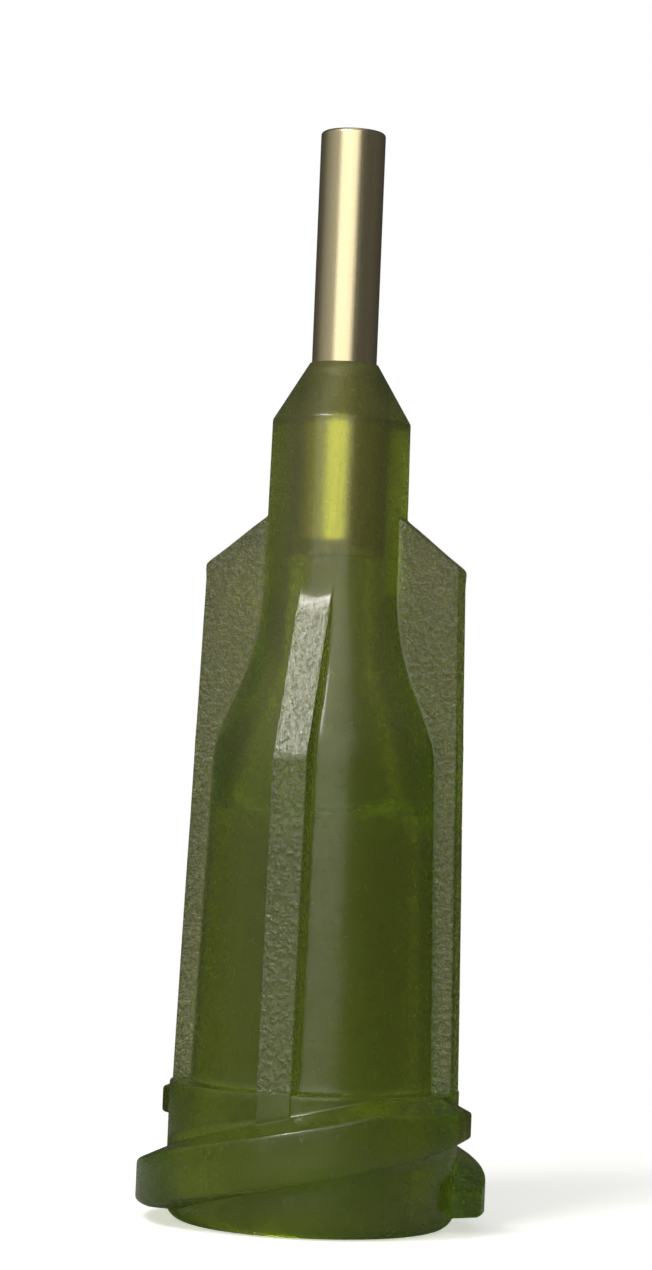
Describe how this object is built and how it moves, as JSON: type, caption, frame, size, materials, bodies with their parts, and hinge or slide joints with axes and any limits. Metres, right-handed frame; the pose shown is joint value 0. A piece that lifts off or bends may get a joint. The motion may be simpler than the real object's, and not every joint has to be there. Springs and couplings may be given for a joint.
{
  "type": "dispensing needle tip",
  "caption": "Blunt dispensing needle tip: translucent olive plastic hub with wings, a taper socket and helical lock lugs, holding a short straight steel tube.",
  "frame": {"origin": "centre of the socket's rim, on which the tip stands", "axes": "+Z along the needle to its tip, wings along X, short ribs along Y"},
  "size_m": [0.0078, 0.0078, 0.0246],
  "materials": {
    "hub_plastic": "translucent moulded polypropylene, grained on the wings and ribs",
    "tube_steel": "drawn stainless steel tube"
  },
  "bodies": {
    "root": {"hub": "hub_plastic", "needle_tube": "tube_steel"}
  },
  "joints": []
}
